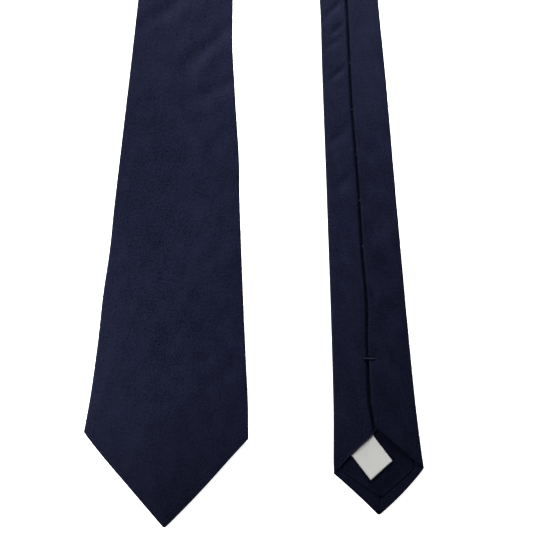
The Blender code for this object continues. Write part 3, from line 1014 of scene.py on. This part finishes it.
def build_care_label():
    """A small satin label, sewn in under the left wing's lower edge and lying on the tipping."""
    across = np.linspace(0, CARE_LABEL_WIDTH, 22)[None, :]
    down = np.linspace(-CARE_LABEL_TUCK, CARE_LABEL_LENGTH, 27)[:, None]
    part = np.clip(down / CARE_LABEL_LENGTH, 0, 1)
    lift = 2.05 - 0.25 * ease(part * 2.5) + 0.45 * part**3
    curl = 0.18 * part**2 * (np.abs(2 * across / CARE_LABEL_WIDTH - 1)) ** 2
    ripple = 0.05 * np.sin(across * 0.55 + down * 0.35) * part
    z = lift + curl + ripple
    half = CARE_LABEL_HALF_THICKNESS
    top, bottom = (care_label_places(across, down, z + up) for up in (half, -half))
    made = grid(top, bottom, down, across - CARE_LABEL_WIDTH / 2)
    label = finished("small_label", made, CARE_SATIN, "care_satin", "care_label")
    hinge = [care_label_places(CARE_LABEL_WIDTH / 2, place, 2.0) for place in (-0.6, 2.2)]
    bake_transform(label)


def build_care_label_stitches():
    """The few stitches that hold the label's sewn edge to the wing above it."""
    tubes = []
    for place in CARE_LABEL_STITCHES:
        start = care_label_places(place, 0.55, 2.15)
        end = care_label_places(place + 0.7, -0.55, 2.95)
        tubes.append(thread_tube(arc(start, end, 0.15 * MM), LABEL_STITCH_RADIUS * MM))
    stitches = add_mesh("small_label_stitches", *joined(tubes))
    stitches.data.materials.append(THREAD_PALE_AND_PAINTED_HIGHLIGHT)
    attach(stitches, "tail_end")


# Where each leg's slip stitches run, for the two bodies they are on.
SLIP_STITCH_RUNS = {
    "blade": (BLADE, {"end": (172, 364), "upper": (388, 730)}),
    "tail": (TAIL, {"end": (148, 364), "upper": (388, 730)}),
}

build_silk("blade", BLADE, BLADE_NECK_SEAM)
build_silk("tail", TAIL, TAIL_NECK_SEAM)
build_neck("neck_silk_front", BLADE, BLADE_NECK_SEAM, "blade_upper", "neck_shell_front")
build_neck("neck_silk_rear", TAIL, TAIL_NECK_SEAM, "tail_upper", "neck_shell_rear")
build_neck_bend()
build_layers("blade", BLADE)
build_layers("tail", TAIL)
for prefix, (leg, runs) in SLIP_STITCH_RUNS.items():
    for part, (low, high) in runs.items():
        build_slip_stitches(prefix, leg, part, low, high)
    build_bar_tack(prefix, leg)
build_brand_label()
build_keeper_loop()
build_care_label()
build_care_label_stitches()


# Studio: a white floor, four small soft lights from above, and the camera.

FLOOR_HALF = 2.5
FLOOR_Z = -0.0002  # just clear of the cloth that lies on it

# Each light's name, place, target, size, power in watts and spread in degrees.
LIGHTS = (
    ("key", (0.15, 0.2, 0.28), (0.01, -0.06, 0), 0.16, 1.55, 84),
    ("back", (0.15, 0.56, 0.32), (0.01, 0.3, 0), 0.16, 1.85, 84),
    ("side", (-0.36, 0.16, 0.3), (-0.02, -0.08, 0), 0.12, 0.75, 60),
    ("fill", (-0.3, -0.34, 0.2), (-0.1, -0.28, 0), 0.14, 0.3, 48),
)
WORLD_COLOUR = (1, 1, 1, 1)
WORLD_STRENGTH = 0.32

VIEW_X = 6.17 * MM
VIEW_Y = -233.4 * MM
VIEW_WIDTH = 278.7 * MM
LENS = 85.0
SENSOR = 36.0


def build_floor():
    mesh = bpy.data.meshes.new("floor")
    signs = ((-1, -1), (1, -1), (1, 1), (-1, 1))
    corners = [(x * FLOOR_HALF, y * FLOOR_HALF, 0) for x, y in signs]
    mesh.from_pydata(corners, [], [(0, 1, 2, 3)])
    floor = bpy.data.objects.new("floor", mesh)
    floor.location.z = FLOOR_Z
    mesh.materials.append(floor_material())
    bpy.context.scene.collection.objects.link(floor)


def add_light(name, place, target, size, power, spread):
    """A square area light that shines from its place towards its target."""
    data = bpy.data.lights.new(name, "AREA")
    data.shape, data.size, data.energy = "SQUARE", size, power
    data.spread = math.radians(spread)
    light = bpy.data.objects.new(name, data)
    light.location = place
    aim = Vector(target) - Vector(place)
    light.rotation_mode = "QUATERNION"
    light.rotation_quaternion = aim.to_track_quat("-Z", "Y")
    bpy.context.scene.collection.objects.link(light)


def add_world():
    world = bpy.data.worlds.new("studio")
    world.use_nodes = True
    background = world.node_tree.nodes["Background"]
    background.inputs[0].default_value = WORLD_COLOUR
    background.inputs[1].default_value = WORLD_STRENGTH
    bpy.context.scene.world = world


def add_camera():
    """Looks straight down on the tie's lower half, as wide as the lens sees."""
    data = bpy.data.cameras.new("camera")
    data.lens, data.sensor_width = LENS, SENSOR
    camera = bpy.data.objects.new("camera", data)
    camera.location = (VIEW_X, VIEW_Y, VIEW_WIDTH * LENS / SENSOR + LEG * MM)
    bpy.context.scene.collection.objects.link(camera)
    bpy.context.scene.camera = camera


build_floor()
for row in LIGHTS:
    add_light(*row)
add_world()
add_camera()
bpy.context.scene.view_settings.view_transform = "Standard"
